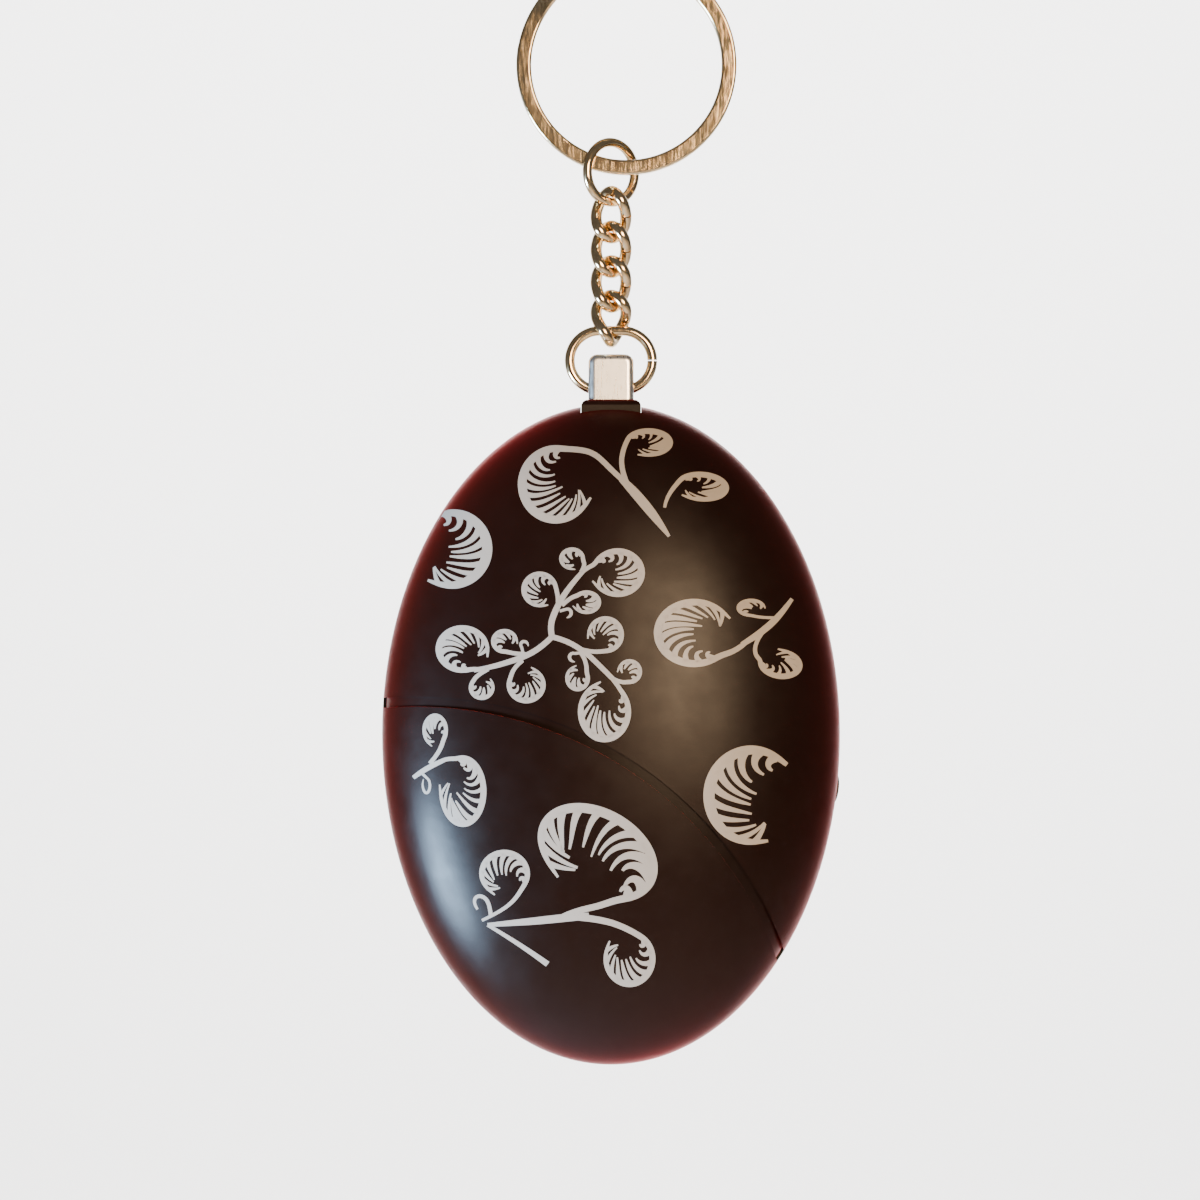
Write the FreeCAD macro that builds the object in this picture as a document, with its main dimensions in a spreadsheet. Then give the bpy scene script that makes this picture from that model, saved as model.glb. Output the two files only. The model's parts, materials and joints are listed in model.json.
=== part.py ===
"""Egg-shaped key-ring alarm: a plastic egg that hangs from a pull pin on a short chain and a split ring.

Millimetres, +Z up, front of the egg towards -Y. The origin is the point on the inside of the split ring
that rests on a hook, so everything else hangs below it. The parts inside the egg are drawn about the
egg's own centre and every one of them is lowered by egg_z.
"""
import FreeCAD, Part
import math
import os

import Sketcher
from FreeCAD import Placement, Rotation, Vector

os.makedirs("parts", exist_ok=True)
doc = FreeCAD.newDocument("EggAlarm")
sheet = doc.addObject("Spreadsheet::Sheet", "Sizes")
nodes = []


# ---------------------------------------------------------------- driving dimensions
class Size:
    """A number together with the sheet formula that gives it, so that arithmetic builds both."""

    def __init__(self, value, text):
        self.value, self.text = value, text

    def __add__(self, other):
        return Size(self.value + as_size(other).value, f"({self.text} + {as_size(other).text})")

    def __sub__(self, other):
        return Size(self.value - as_size(other).value, f"({self.text} - {as_size(other).text})")

    def __mul__(self, other):
        return Size(self.value * as_size(other).value, f"({self.text} * {as_size(other).text})")

    def __truediv__(self, other):
        return Size(self.value / as_size(other).value, f"({self.text} / {as_size(other).text})")

    def __neg__(self):
        return as_size(0) - self

    __radd__ = __add__
    __rmul__ = __mul__

    def __rsub__(self, other):
        return as_size(other) - self


def as_size(number):
    return number if isinstance(number, Size) else Size(float(number), f"{float(number):.6g}")


def root(size):
    return Size(math.sqrt(size.value), f"sqrt({size.text})")


def size(alias, value, note):
    """One row of the sheet: name, value, note."""
    row = str(len(sheet.getUsedCells()) // 3 + 1)
    sheet.set("A" + row, alias)
    sheet.set("B" + row, str(value))
    sheet.set("C" + row, note)
    sheet.setAlias("B" + row, alias)
    return Size(float(value), "Sizes." + alias)


egg_height = size("egg_height", 60.0, "egg, top to bottom")
egg_width = size("egg_width", 41.6, "egg, side to side")
egg_depth = size("egg_depth", 20.0, "egg, front to back")
wall = size("wall", 1.5, "thickness of the shells")
play = size("play", 0.05, "clearance between parts that touch or slide")
seam_side = size("seam_side", 17.15, "seam arc: centre, left of the egg's centre")
seam_drop = size("seam_drop", 31.4, "seam arc: centre, below the egg's centre")
seam_radius = size("seam_radius", 34.0, "seam arc: edge of the battery cover")
seam_width = size("seam_width", 0.9, "width of the sunken line between cover and front shell")
seam_depth = size("seam_depth", 0.3, "depth of that line")

ring_across = size("ring_across", 20.0, "split ring, outside")
ring_band = size("ring_band", 1.35, "split ring wire, radially")
ring_coil = size("ring_coil", 0.75, "split ring wire, thickness of one coil")
ring_slip = size("ring_slip", 1.4, "how far the split ring hangs off centre")
jump_across = size("jump_across", 6.3, "jump ring, outside")
jump_wire = size("jump_wire", 0.85, "jump ring wire")
jump_seat = size("jump_seat", 1.2, "split ring's inner edge above the jump ring's centre")
jump_turn = size("jump_turn", 38, "jump ring's turn about the vertical, degrees")
link_long = size("link_long", 5.3, "chain link, outside length")
link_wide = size("link_wide", 3.75, "chain link, outside width")
link_wire = size("link_wire", 1.05, "chain link wire")
link_twist = size("link_twist", 90, "twist of a link from top to bottom, degrees")
link_step = size("link_step", 6, "turn added from one link to the next, degrees")
bail_end = size("bail_end", 2.7, "lower ring: centreline radius of its ends")
bail_flat = size("bail_flat", 1.05, "lower ring: half length of its straight bars")
bail_wire = size("bail_wire", 0.9, "lower ring wire")
butt_gap = size("butt_gap", 0.08, "gap where a bent wire's ends meet")

pin_bore = size("pin_bore", 1.6, "cross hole of the pull pin")
pin_rise = size("pin_rise", 1.25, "cross hole above the top of the egg")
head_width = size("head_width", 4.1, "pull pin head, side to side")
head_depth = size("head_depth", 3.0, "pull pin head, front to back")
head_base = size("head_base", 0.4, "underside of the head above the top of the egg")
head_top = size("head_top", 4.5, "top of the head above the top of the egg")
shank_width = size("shank_width", 3.2, "pull pin shank, side to side")
shank_depth = size("shank_depth", 2.0, "pull pin shank, front to back")
shank_drop = size("shank_drop", 4.0, "shank end below the top of the egg")
blade_drop = size("blade_drop", 9.3, "insulator tip below the top of the egg")
blade_depth = size("blade_depth", 1.0, "insulator thickness")

siren_z = size("siren_z", 6.0, "siren centre above the egg's centre")
siren_back = size("siren_back", 5.6, "shoulder the siren seats against, behind the middle plane")
plate_across = size("plate_across", 25.0, "brass plate of the siren")
plate_thick = size("plate_thick", 0.3, "brass plate thickness")
board_back = size("board_back", -0.3, "rear face of the circuit board")
board_thick = size("board_thick", 1.0, "circuit board thickness")
board_half = size("board_half", 14.0, "circuit board half width")
board_low = size("board_low", -7.5, "circuit board lower edge")
board_high = size("board_high", 18.5, "circuit board upper edge")
cell_across = size("cell_across", 11.6, "button cell diameter")
cell_thick = size("cell_thick", 5.4, "button cell thickness")
cell_z = size("cell_z", -14.5, "axis of the cells, from the egg's centre")
screw_shank = size("screw_shank", 2.0, "case screw thread")
screw_head = size("screw_head", 3.6, "case screw head")
screw_seat = size("screw_seat", 3.0, "case screw head seat behind the middle plane")
board_screw = size("board_screw", 1.6, "circuit board screw thread")
lamp_y = size("lamp_y", 2.6, "lamp axis behind the middle plane")
lamp_across = size("lamp_across", 3.0, "lamp diameter")
button_y = size("button_y", 2.6, "side button axis behind the middle plane")
button_z = size("button_z", -5.0, "side button axis, from the egg's centre")
button_across = size("button_across", 3.0, "side button diameter")

# heights, from the hook down
ring_inner = ring_across / 2 - ring_band
ring_z = -root(ring_inner * ring_inner - ring_slip * ring_slip)
jump_z = ring_z * 2 - jump_seat
jump_line = (jump_across - jump_wire) / 2
link_half = (link_long - link_wire) / 2
link_z = jump_z - jump_line + (jump_wire + link_wire) / 2 + play - link_half
link_pitch = link_half * 2 - link_wire - play
bail_z = link_z - link_pitch * 3 - link_half + (link_wire + bail_wire) / 2 + play - bail_end
egg_top = egg_height / 2
egg_z = bail_z - bail_end - pin_rise - egg_top


# ---------------------------------------------------------------- helpers: documents and placements
def bind(item, prop, amount):
    """Tie a property to the sheet."""
    item.setExpression(prop, as_size(amount).text)


def place(item, x=0, y=0, z=0):
    for axis, amount in zip("xyz", (x, y, z)):
        bind(item, "Placement.Base." + axis, amount)
    return item


def node(item, label, lower=egg_z, x=0, y=0, z=0):
    """Register a finished sub-part; lower is added to its height."""
    item.Label = label
    nodes.append(item)
    return place(item, x, y, as_size(z) + lower)


# ---------------------------------------------------------------- helpers: primitives and booleans
def ellipsoid(name, grow=0):
    """The egg's surface, moved out by grow."""
    item = doc.addObject("Part::Ellipsoid", name)
    for prop, full in (("Radius1", egg_height), ("Radius2", egg_width), ("Radius3", egg_depth)):
        bind(item, prop, full / 2 + grow)
    return item


def block(name, x, y, z):
    """A box between pairs of limits."""
    item = doc.addObject("Part::Box", name)
    for prop, (low, high) in zip(("Length", "Width", "Height"), (x, y, z)):
        bind(item, prop, as_size(high) - low)
    return place(item, x[0], y[0], z[0])


AXIS_TURN = {"X": Rotation(Vector(0, 1, 0), 90), "Y": Rotation(Vector(1, 0, 0), -90), "Z": Rotation()}


def rod(name, axis, radius, length, x=0, y=0, z=0):
    """A cylinder that starts at (x, y, z) and runs along +axis."""
    item = doc.addObject("Part::Cylinder", name)
    item.Placement.Rotation = AXIS_TURN[axis]
    bind(item, "Radius", radius)
    bind(item, "Height", length)
    return place(item, x, y, z)


def cut(name, base, tool):
    item = doc.addObject("Part::Cut", name)
    item.Base, item.Tool = base, tool
    return item


def fuse(name, *shapes):
    item = doc.addObject("Part::MultiFuse", name)
    item.Shapes = list(shapes)
    return item


def common(name, *shapes):
    item = doc.addObject("Part::MultiCommon", name)
    item.Shapes = list(shapes)
    return item


# ---------------------------------------------------------------- helpers: sketched bodies
def body(label):
    return doc.addObject("PartDesign::Body", label)


def sketch(owner, plane, outlines, offset=0):
    """A sketch on one of the body's planes; every outline is a list of points or (x, y, radius)."""
    item = owner.newObject("Sketcher::SketchObject", "Sketch")
    support = [f for f in owner.Origin.OriginFeatures if f.Role == plane + "_Plane"][0]
    item.AttachmentSupport = [(support, "")]
    item.MapMode = "FlatFace"
    bind(item, "AttachmentOffset.Base.z", offset)
    for outline in outlines:
        if isinstance(outline, tuple):
            add_circle(item, *outline)
        else:
            add_polygon(item, outline)
    return item


def fix_point(item, edge, end, x, y):
    """Hold a sketch point at (x, y) from the sketch's origin."""
    for kind, amount in (("DistanceX", x), ("DistanceY", y)):
        index = item.addConstraint(Sketcher.Constraint(kind, -1, 1, edge, end, as_size(amount).value))
        bind(item, f"Constraints[{index}]", amount)


def add_circle(item, x, y, radius):
    x, y, radius = as_size(x), as_size(y), as_size(radius)
    edge = item.addGeometry(Part.Circle(Vector(x.value, y.value, 0), Vector(0, 0, 1), radius.value))
    index = item.addConstraint(Sketcher.Constraint("Radius", edge, radius.value))
    bind(item, f"Constraints[{index}]", radius)
    fix_point(item, edge, 3, x, y)


def add_polygon(item, points):
    points = [(as_size(x), as_size(y)) for x, y in points]
    corners = [Vector(x.value, y.value, 0) for x, y in points]
    first = item.GeometryCount
    count = len(points)
    for i in range(count):
        item.addGeometry(Part.LineSegment(corners[i], corners[(i + 1) % count]))
    for i in range(count):
        item.addConstraint(Sketcher.Constraint("Coincident", first + i, 2, first + (i + 1) % count, 1))
    for i, (x, y) in enumerate(points):
        fix_point(item, first + i, 1, x, y)


def box_outline(x0, x1, y0, y1):
    return [(x0, y0), (x1, y0), (x1, y1), (x0, y1)]


def pad(owner, plane, outlines, low, high, feature="Pad"):
    """Material (or a pocket) between two levels measured along +X, +Y or +Z."""
    low, high = as_size(low), as_size(high)
    flipped = plane == "XZ"
    item = owner.newObject("PartDesign::" + feature, feature)
    item.Profile = sketch(owner, plane, outlines, -high if flipped else low)
    item.Reversed = feature == "Pocket"
    bind(item, "Length", high - low)
    return item


TURN_PLANE = {"X": ("XY", "H_Axis"), "Y": ("XY", "V_Axis"), "Z": ("XZ", "V_Axis")}


def turned(label, axis, points):
    """A body of revolution; points are (distance from the axis, position along it)."""
    owner = body(label)
    plane, line = TURN_PLANE[axis]
    if axis == "X":
        points = [(along, out) for out, along in points]
    profile = sketch(owner, plane, [points])
    item = owner.newObject("PartDesign::Revolution", "Revolution")
    item.Profile = profile
    item.ReferenceAxis = (profile, [line])
    item.Angle = 360
    return owner


def dress(owner, feature, amount, choose):
    """Round or bevel the edges of a body that choose(edge) picks."""
    doc.recompute()
    base = owner.Tip
    edges = [f"Edge{i + 1}" for i, edge in enumerate(base.Shape.Edges) if choose(edge)]
    item = owner.newObject("PartDesign::" + feature, feature)
    item.Base = (base, edges)
    bind(item, "Radius" if feature == "Fillet" else "Size", amount)
    owner.Tip = item
    return item


def runs_along(edge, axis):
    """True for a straight edge parallel to the axis."""
    if len(edge.Vertexes) != 2:
        return False
    run = edge.Vertexes[1].Point - edge.Vertexes[0].Point
    return run.Length > 1e-6 and abs(abs(run.dot(axis)) - run.Length) < 1e-6


# ---------------------------------------------------------------- helpers: bent wire
def feature(label, shape, lower, x=0, z=0, turn=0.0):
    """A sub-part with its own shape, turned about the vertical."""
    item = doc.addObject("Part::Feature", label)
    item.Shape = shape
    item.Placement = Placement(Vector(0, 0, 0), Rotation(Vector(0, 0, 1), turn))
    return node(item, label, lower, x=x, z=z)


def swept(path, radius):
    """A round wire along an open path."""
    edge = path.Edges[0]
    start = edge.valueAt(edge.FirstParameter)
    profile = Part.Wire([Part.Circle(start, edge.tangentAt(edge.FirstParameter), radius).toShape()])
    return path.makePipeShell([profile], True, False)


def smooth(points):
    curve = Part.BSplineCurve()
    curve.interpolate(Points=points)
    return Part.Wire([curve.toShape()])


# ---------------------------------------------------------------- split ring
def split_ring():
    """Two flat coils of one wire; the wire steps from one coil to the other in a short crossover."""
    radius = (ring_across.value - ring_band.value) / 2
    level = (ring_coil.value + play.value) / 2
    ends, cross, steps = math.radians(30), math.radians(13), 110
    points = []
    for i in range(steps + 1):
        angle = ends + (4 * math.pi - 2 * ends) * i / steps
        along = max(-1.0, min(1.0, (angle - 2 * math.pi) / cross))
        turn = angle + math.radians(140)
        points.append(Vector(radius * math.cos(turn), level * math.sin(along * math.pi / 2),
                             radius * math.sin(turn)))
    path = smooth(points)
    out = Vector(points[0].x, 0, points[0].z).normalize()
    deep, wide, corner = ring_band.value / 2, ring_coil.value / 2, 0.22
    knee = corner * (1 - math.sqrt(0.5))

    def at(a, b):
        return points[0] + out * a + Vector(0, 1, 0) * b

    edges = []
    for a, b in ((1, 1), (-1, 1), (-1, -1), (1, -1)):
        along = (at(a * deep, b * (wide - corner)), at(a * (deep - corner), b * wide))
        start, end = along if a * b > 0 else along[::-1]
        middle = at(a * (deep - knee), b * (wide - knee))
        edges.append(Part.Arc(start, middle, end).toShape())
    loop = []
    for i, arc in enumerate(edges):
        nxt = edges[(i + 1) % 4]
        loop += [arc, Part.makeLine(arc.valueAt(arc.LastParameter), nxt.valueAt(nxt.FirstParameter))]
    pipe = Part.BRepOffsetAPI.MakePipeShell(path)
    pipe.setBiNormalMode(Vector(0, 1, 0))
    pipe.add(Part.Wire(loop))
    pipe.build()
    pipe.makeSolid()
    return pipe.shape()


feature("key_ring", split_ring(), 0, x=ring_slip, z=ring_z)

# ---------------------------------------------------------------- jump ring
line = jump_line.value
join = math.radians(52)
slit = butt_gap.value / line
circle = Part.Circle(Vector(0, 0, 0), Vector(0, -1, 0), line)
arc = Part.ArcOfCircle(circle, join + slit / 2, join + 2 * math.pi - slit / 2)
feature("upper_jump_ring", swept(Part.Wire([arc.toShape()]), jump_wire.value / 2), 0,
        z=jump_z, turn=jump_turn.value)


# ---------------------------------------------------------------- curb chain
def curb_link(twist):
    """A flat oval of wire, twisted about its length so that the next link can lie in the same plane."""
    end = (link_wide.value - link_wire.value) / 2
    straight = link_half.value - end
    length = 4 * straight + 2 * math.pi * end
    steps, points = 64, []
    for i in range(steps + 1):
        run = butt_gap.value / 2 + (length - butt_gap.value) * i / steps
        if run < straight:
            x, z = end, run
        elif run < straight + math.pi * end:
            bend = (run - straight) / end
            x, z = end * math.cos(bend), straight + end * math.sin(bend)
        elif run < 3 * straight + math.pi * end:
            x, z = -end, 2 * straight + math.pi * end - run
        elif run < 3 * straight + 2 * math.pi * end:
            bend = (run - 3 * straight - math.pi * end) / end
            x, z = -end * math.cos(bend), -straight - end * math.sin(bend)
        else:
            x, z = end, run - length
        fall = (link_half.value - z) / (2 * link_half.value)
        turn = math.radians(twist) * fall * fall * (3 - 2 * fall)
        points.append(Vector(x * math.cos(turn), x * math.sin(turn), z))
    return swept(smooth(points), link_wire.value / 2)


for i in range(4):
    extra = 17 if i == 3 else 0     # the last link turns further, to pass square over the lower ring
    feature(f"chain_link_{i + 1}", curb_link(link_twist.value + extra), 0,
            z=link_z - link_pitch * i, turn=jump_turn.value - 90 + link_step.value * i)


# ---------------------------------------------------------------- lower ring
def racetrack(radius, flat, gap):
    """A flattened ring, open at its right-hand end by gap."""
    half = gap / 2 / radius

    def on(side, angle):
        return Vector(side * flat + radius * math.cos(angle), 0, radius * math.sin(angle))

    top, bottom, quarter = math.pi / 2, -math.pi / 2, math.pi / 4
    edges = [Part.Arc(on(1, half), on(1, quarter), on(1, top)).toShape(),
             Part.makeLine(on(1, top), on(-1, top)),
             Part.Arc(on(-1, top), on(-1, math.pi), on(-1, bottom)).toShape(),
             Part.makeLine(on(-1, bottom), on(1, bottom)),
             Part.Arc(on(1, bottom), on(1, -quarter), on(1, -half)).toShape()]
    return Part.Wire(edges)


feature("lower_ring", swept(racetrack(bail_end.value, bail_flat.value, butt_gap.value), bail_wire.value / 2),
        0, z=bail_z)

# ---------------------------------------------------------------- pull pin and its socket
pin = body("pull_pin")
pad(pin, "XZ", [box_outline(-head_width / 2, head_width / 2, head_base, head_top)],
    -head_depth / 2, head_depth / 2)
dress(pin, "Fillet", 0.8, lambda e: runs_along(e, Vector(0, 1, 0)) and e.CenterOfMass.z > 3)
dress(pin, "Fillet", 0.6, lambda e: abs(e.CenterOfMass.y) > 1.4 and e.CenterOfMass.z > 1)
pad(pin, "YZ", [(0, pin_rise, pin_bore / 2)], -head_width, head_width, "Pocket")
pad(pin, "XY", [box_outline(-shank_width / 2, shank_width / 2, -shank_depth / 2, shank_depth / 2)],
    -shank_drop, head_base)
node(pin, "pull_pin", z=egg_top)

blade = body("pin_insulator")
blade_half = shank_width / 2 - 0.2
pad(blade, "XY", [box_outline(-blade_half, blade_half, -blade_depth / 2, blade_depth / 2)],
    -blade_drop, -shank_drop)
dress(blade, "Chamfer", 0.35, lambda e: runs_along(e, Vector(1, 0, 0)) and e.CenterOfMass.z < -9)
node(blade, "pin_insulator", z=egg_top)

collar_x, collar_y = shank_width / 2 + 1.1, shank_depth / 2 + 0.9
collar_top = head_base - play
flange_x, flange_y = collar_x + 1, collar_y + 1
hole_x, hole_y = shank_width / 2 + 0.15, shank_depth / 2 + 0.15
socket = body("pin_socket")
pad(socket, "XY", [box_outline(-collar_x, collar_x, -collar_y, collar_y)], -5, collar_top)
pad(socket, "XY", [box_outline(-flange_x, flange_x, -flange_y, flange_y)], -5.4, -4.5)
pad(socket, "XY", [box_outline(-hole_x, hole_x, -hole_y, hole_y)], -6, 1, "Pocket")
dress(socket, "Fillet", 0.6, lambda e: abs(e.CenterOfMass.z - collar_top.value) < 0.02
      and (abs(e.CenterOfMass.x) > hole_x.value + 0.1 or abs(e.CenterOfMass.y) > hole_y.value + 0.1))
node(socket, "pin_socket", z=egg_top)


# ---------------------------------------------------------------- shells
def seam_disc(name, grow):
    """A cylinder through the egg on the seam arc, its radius moved out by grow."""
    return rod(name, "Y", seam_radius + grow, egg_depth * 2, x=-seam_side, y=-egg_depth, z=-seam_drop)


def screw_at(x, z):
    """Posts, clearance hole and head recess of a case screw."""
    name = f"Screw{len(posts)}"
    posts.append(rod(name + "Post", "Y", 2.0, egg_depth / 2, x=x, y=-egg_depth / 2, z=z))
    pilots.append(rod(name + "Pilot", "Y", screw_shank / 2 + 0.05, 4.3, x=x, y=-4.2, z=z))
    pillars.append(rod(name + "Pillar", "Y", 2.3, egg_depth / 2, x=x, y=0, z=z))
    clears.append(rod(name + "Clear", "Y", screw_shank / 2 + 0.1, egg_depth, x=x, y=-1, z=z))
    recesses.append(rod(name + "Recess", "Y", screw_head / 2 + 0.15, egg_depth, x=x, y=screw_seat, z=z))


posts, pilots, pillars, clears, recesses = [], [], [], [], []
case_screws = [(-14.9, 9.5), (14.9, 9.5), (14.2, -11.0)]
cover_screw = (-13.5, -10.0)
for spot in case_screws + [cover_screw]:
    screw_at(*spot)
board_screws = [(-10.5, 14.0), (9.0, -4.0)]

full, far = egg_depth, egg_height
front_half = block("FrontHalf", (-far, far), (-full, 0), (-far, far))
rear_half = block("RearHalf", (-far, far), (0, full), (-far, far))
outer = ellipsoid("Outer")
inner = ellipsoid("Inner", -wall)
ledge = ellipsoid("Ledge", -seam_depth)
under = ellipsoid("Under", -seam_depth + play)
groove = cut("Parting", block("PartingSlab", (-far, far), (-0.12, 0.12), (-far, far)),
             ellipsoid("Floor", -0.35))
throat = block("Throat", (-collar_x - play, collar_x + play), (-collar_y - play, collar_y + play),
               (egg_top - 7, egg_top + 2))

board_front = board_back - board_thick
skin = cut("Skin", outer, seam_disc("SkinEdge", seam_width))
lip = cut("Lip", ledge, seam_disc("LipEdge", -seam_width))
front_hollow = cut("FrontHollow", inner, fuse("FrontPosts", *posts[:3], *[
    rod(f"BoardPost{i}", "Y", 1.7, board_front + egg_depth / 2, x=x, y=-egg_depth / 2, z=z)
    for i, (x, z) in enumerate(board_screws)]))
front_holes = fuse("FrontHoles", front_hollow, groove, throat, *pilots[:3], *[
    rod(f"BoardPilot{i}", "Y", board_screw / 2 + 0.05, 4.5, x=x, y=-5, z=z)
    for i, (x, z) in enumerate(board_screws)])
front = cut("FrontShell", common("FrontBlank", fuse("FrontSkin", skin, lip), front_half), front_holes)
node(front, "front_shell")

cover_blank = common("CoverBlank", outer, seam_disc("CoverEdge", 0), front_half)
cover_hollow = cut("CoverHollow", inner, posts[3])
lap = cut("Lap", under, seam_disc("LapEdge", -seam_width - play))
cover_cut = cut("CoverCut", cut("CoverLap", cut("CoverWall", cover_blank, cover_hollow), lap),
                fuse("CoverHoles", groove, pilots[3]))
tab = block("Tab", (-3, 3), (-3.2, 0.8), (-(egg_top - wall) + 0.45, -(egg_top - wall) + 1.45))
cover = fuse("BatteryCover", cover_cut, tab)
node(cover, "battery_cover")

tube = cut("SirenTube",
           rod("TubeOut", "Y", plate_across / 2 + 0.9, full, y=3.6, z=siren_z),
           fuse("TubeBore", rod("BoreWide", "Y", plate_across / 2 + 0.2, siren_back - 3, y=3, z=siren_z),
                rod("BoreNarrow", "Y", plate_across / 2 - 0.9, full, y=3, z=siren_z)))
rear_hollow = cut("RearHollow", inner, fuse("RearPosts", tube, *pillars))
slots = []
for i in range(5):
    level = siren_z + (i - 2) * 2.8
    reach = 7.0 - 0.75 * (i - 2) ** 2
    slots.append(block(f"SoundSlot{i}", (-reach, reach), (6, full), (level - 0.6, level + 0.6)))
lamp_hole = rod("LampHole", "Z", lamp_across / 2 + 0.15, 12, y=lamp_y, z=-egg_top - 2)
button_hole = rod("ButtonHole", "X", button_across / 2 + 0.1, 12, x=12, y=button_y, z=button_z)
rear_holes = fuse("RearHoles", rear_hollow, groove, throat, lamp_hole, button_hole,
                  *clears, *recesses, *slots)
rear = cut("RearShell", common("RearBlank", outer, rear_half), rear_holes)
node(rear, "rear_shell")


# ---------------------------------------------------------------- screws
def machine_screw(label, shank, head, head_high, length):
    """A pan-head screw along Y: head from 0 to head_high, thread from 0 to -length, cross recess."""
    owner = turned(label, "Y", [(0, -length), (shank / 2 - 0.25, -length), (shank / 2, -length + 0.6),
                                (shank / 2, 0), (head / 2, 0), (head / 2, head_high * 0.6),
                                (head / 2 - 0.4, head_high), (0, head_high)])
    arm = head * 0.28
    for across, along in ((arm, 0.2), (0.2, arm)):
        pad(owner, "XZ", [box_outline(-across, across, -along, along)],
            head_high / 2, head_high + 1, "Pocket")
    return owner


for i, (x, z) in enumerate(case_screws):
    node(machine_screw(f"case_screw_{i + 1}", screw_shank, screw_head, as_size(1.4), as_size(6.6)),
         f"case_screw_{i + 1}", x=x, y=screw_seat, z=z)
node(machine_screw("cover_screw", screw_shank, screw_head, as_size(1.4), as_size(6.6)),
     "cover_screw", x=cover_screw[0], y=screw_seat, z=cover_screw[1])
for i, (x, z) in enumerate(board_screws):
    node(machine_screw(f"board_screw_{i + 1}", board_screw, as_size(3.0), as_size(0.9), as_size(4.4)),
         f"board_screw_{i + 1}", x=x, y=board_back, z=z)


# ---------------------------------------------------------------- siren
def ring_disc(label, outside, inside, low, high, z):
    """A flat disc or washer across the Y axis."""
    owner = body(label)
    outlines = [(0, 0, outside)] + ([(0, 0, inside)] if inside else [])
    pad(owner, "XZ", outlines, low, high)
    return node(owner, label, z=z)


plate_back = siren_back - 0.4
plate_front = plate_back - plate_thick
ring_disc("siren_gasket", plate_across / 2 + 0.1, plate_across / 2 - 0.9, plate_back, siren_back, siren_z)
ring_disc("piezo_plate", plate_across / 2, 0, plate_front, plate_back, siren_z)
ring_disc("piezo_ceramic", plate_across * 0.36, 0, plate_front - 0.25, plate_front, siren_z)
ring_disc("siren_retainer", plate_across / 2 + 0.15, plate_across / 2 - 1.2, plate_front - 1.2, plate_front,
          siren_z)

# ---------------------------------------------------------------- circuit board
board = body("circuit_board")
corner = 5.0
pad(board, "XZ", [[(-board_half, board_low + 2), (-board_half + 2, board_low), (board_half - 2, board_low),
                   (board_half, board_low + 2), (board_half, board_high - corner),
                   (board_half - corner, board_high), (-board_half + corner, board_high),
                   (-board_half, board_high - corner)]], board_front, board_back)
pad(board, "XZ", [(x, z, as_size(2.5)) for x, z in case_screws[:2]],
    board_front - 1, board_back + 1, "Pocket")
pad(board, "XZ", [(x, z, board_screw / 2 + 0.1) for x, z in board_screws],
    board_front - 1, board_back + 1, "Pocket")
node(board, "circuit_board")

# boost coil: a drum core and its winding
coil = [(0, 0), (3.2, 0), (3.2, 0.9), (1.5, 0.9), (1.5, 3.9), (3.2, 3.9), (3.2, 4.8), (0, 4.8)]
node(turned("coil_core", "Y", [(out, -along) for out, along in coil]), "coil_core",
     x=-6, y=board_front, z=8)
ring_disc("coil_winding", as_size(2.9), as_size(1.5), board_front - 3.9, board_front - 0.9, 0)
place(nodes[-1], -6, 0, egg_z + 8)

can = turned("capacitor", "Y", [(0, 0), (2, 0), (2, -0.7), (1.85, -0.9), (2, -1.1), (2, -5.1), (1.75, -5.4),
                                (0, -5.4)])
node(can, "capacitor", x=-9, y=board_front, z=-1.5)


def packaged(label, x, z, wide, high, thick, leads):
    """A moulded chip on the front of the board with rows of leads on its two long sides."""
    owner = body(label)
    pad(owner, "XZ", [box_outline(-wide / 2, wide / 2, -high / 2, high / 2)], -thick, -0.15)
    for i in range(leads):
        level = (i - (leads - 1) / 2) * high / leads
        pad(owner, "XZ", [box_outline(-wide / 2 - 0.9, wide / 2 + 0.9, level - 0.2, level + 0.2)], -0.35, 0)
    return node(owner, label, x=x, y=board_front, z=z)


packaged("driver_chip", 5.0, 10.5, 4.0, 5.0, 1.6, 4)
packaged("power_transistor", 5.0, 2.0, 2.6, 3.4, 1.2, 1)
for i, (x, z) in enumerate(((0.0, 13.5), (0.0, 2.0), (10.0, 5.0))):
    owner = body(f"resistor_{i + 1}")
    pad(owner, "XZ", [box_outline(-0.8, 0.8, -0.45, 0.45)], -0.5, 0)
    node(owner, f"resistor_{i + 1}", x=x, y=board_front, z=z)


# ---------------------------------------------------------------- pin contacts
def leaf(label, foot_y, tip_y, thick):
    """A strip that stands on a face of the board and leans to one side of the insulator."""
    owner = body(label)
    reach = egg_top - 5.9
    side = [(foot_y, 15), (foot_y + thick, 15), (foot_y + thick, board_high + 0.25), (tip_y + thick, 20.6),
            (tip_y + thick, reach), (tip_y, reach), (tip_y, 20.6), (foot_y, board_high + 0.25)]
    pad(owner, "YZ", [side], -1.5, 1.5)
    return node(owner, label)


gap = blade_depth / 2 + play
leaf("contact_leaf_front", board_front - 0.25, -gap - 0.25, 0.25)
leaf("contact_leaf_rear", board_back, gap, 0.25)

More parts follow.
